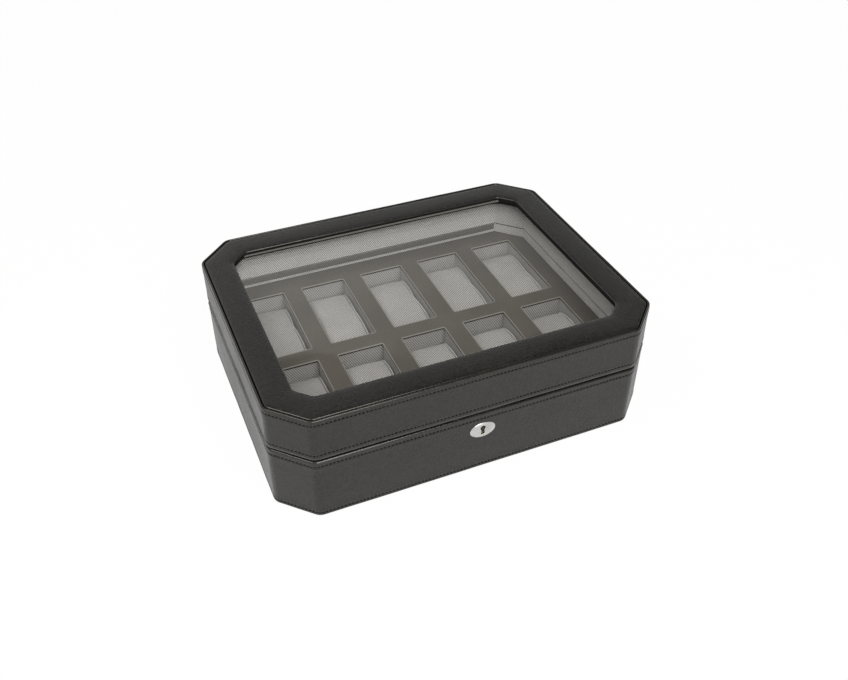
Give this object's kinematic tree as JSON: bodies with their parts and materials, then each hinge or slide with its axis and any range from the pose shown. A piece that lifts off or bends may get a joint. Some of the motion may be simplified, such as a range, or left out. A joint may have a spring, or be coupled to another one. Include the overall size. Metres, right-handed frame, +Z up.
{
  "type": "watch box",
  "caption": "Glazed watch box with cut corners, a hinged lid with a window, a tray of wells with lift-out cuffs, and a box lock.",
  "frame": {"origin": "middle of the felt under the base, on the surface the box stands on", "axes": "+Z up, +X along the width to the right, -Y out of the front face with the lock, +Y towards the hinges"},
  "size_m": [0.3308, 0.2599, 0.101],
  "materials": {
    "black_leatherette": "fine pebble, low sheen",
    "taupe_leatherette": "smooth, matte",
    "woven_lining": "fine diagonal weave",
    "cuff_cloth": "fine diagonal weave over foam",
    "fibreboard": "raw board",
    "window_glass": "clear, polished",
    "base_felt": "felt",
    "packing": "matte",
    "bright_nickel": "bright satin",
    "plated_steel": "satin plated"
  },
  "bodies": {
    "base": {"base_felt": "base_felt", "base_bottom_panel": "fibreboard", "base_carcass": "fibreboard", "base_leather": "black_leatherette", "base_lining": "woven_lining", "floor_lining": "woven_lining", "hinge_cover_strip": "taupe_leatherette", "front_rail": "woven_lining", "rear_rail": "woven_lining", "left_rail": "woven_lining", "right_rail": "woven_lining", "lengthwise_divider": "woven_lining", "cross_divider_1": "woven_lining", "cross_divider_2": "woven_lining", "cross_divider_3": "woven_lining", "cross_divider_4": "woven_lining", "tray_frame": "taupe_leatherette", "escutcheon": "bright_nickel", "lock_case": "plated_steel", "lock_cover": "plated_steel", "lock_face_plate": "plated_steel", "lock_screws": "plated_steel", "hinge_base_leaves": "plated_steel", "hinge_pins": "plated_steel", "hinge_base_screws": "plated_steel"},
    "lid": {"lid_carcass": "fibreboard", "lid_leather": "black_leatherette", "lid_lining": "woven_lining", "lid_top_board": "fibreboard", "lid_top_cover": "black_leatherette", "glass_pane": "window_glass", "glass_packing": "packing", "glass_retainer": "black_leatherette", "strike_plate": "plated_steel", "strike_screws": "plated_steel", "hinge_lid_leaves": "plated_steel", "hinge_lid_screws": "plated_steel"},
    "lock_bolt": {"lock_bolt": "plated_steel"},
    "cuff_01": {"cuff_01": "cuff_cloth"},
    "cuff_02": {"cuff_02": "cuff_cloth"},
    "cuff_03": {"cuff_03": "cuff_cloth"},
    "cuff_04": {"cuff_04": "cuff_cloth"},
    "cuff_05": {"cuff_05": "cuff_cloth"},
    "cuff_06": {"cuff_06": "cuff_cloth"},
    "cuff_07": {"cuff_07": "cuff_cloth"},
    "cuff_08": {"cuff_08": "cuff_cloth"},
    "cuff_09": {"cuff_09": "cuff_cloth"},
    "cuff_10": {"cuff_10": "cuff_cloth"}
  },
  "joints": [
    {"name": "lid_hinge", "type": "hinge", "parent": "base", "child": "lid", "pos_m": [0, 0.126, 0.0606], "axis": [-1, 0, 0], "range_deg": [0, 95]},
    {"name": "bolt_slide", "type": "slide", "parent": "base", "child": "lock_bolt", "axis": [1, 0, 0], "range_m": [0, 0.004]},
    {"name": "cuff_01_lift", "type": "slide", "parent": "base", "child": "cuff_01", "axis": [0, 0, 1], "range_m": [0, 0.04]},
    {"name": "cuff_02_lift", "type": "slide", "parent": "base", "child": "cuff_02", "axis": [0, 0, 1], "range_m": [0, 0.04]},
    {"name": "cuff_03_lift", "type": "slide", "parent": "base", "child": "cuff_03", "axis": [0, 0, 1], "range_m": [0, 0.04]},
    {"name": "cuff_04_lift", "type": "slide", "parent": "base", "child": "cuff_04", "axis": [0, 0, 1], "range_m": [0, 0.04]},
    {"name": "cuff_05_lift", "type": "slide", "parent": "base", "child": "cuff_05", "axis": [0, 0, 1], "range_m": [0, 0.04]},
    {"name": "cuff_06_lift", "type": "slide", "parent": "base", "child": "cuff_06", "axis": [0, 0, 1], "range_m": [0, 0.04]},
    {"name": "cuff_07_lift", "type": "slide", "parent": "base", "child": "cuff_07", "axis": [0, 0, 1], "range_m": [0, 0.04]},
    {"name": "cuff_08_lift", "type": "slide", "parent": "base", "child": "cuff_08", "axis": [0, 0, 1], "range_m": [0, 0.04]},
    {"name": "cuff_09_lift", "type": "slide", "parent": "base", "child": "cuff_09", "axis": [0, 0, 1], "range_m": [0, 0.04]},
    {"name": "cuff_10_lift", "type": "slide", "parent": "base", "child": "cuff_10", "axis": [0, 0, 1], "range_m": [0, 0.04]}
  ]
}
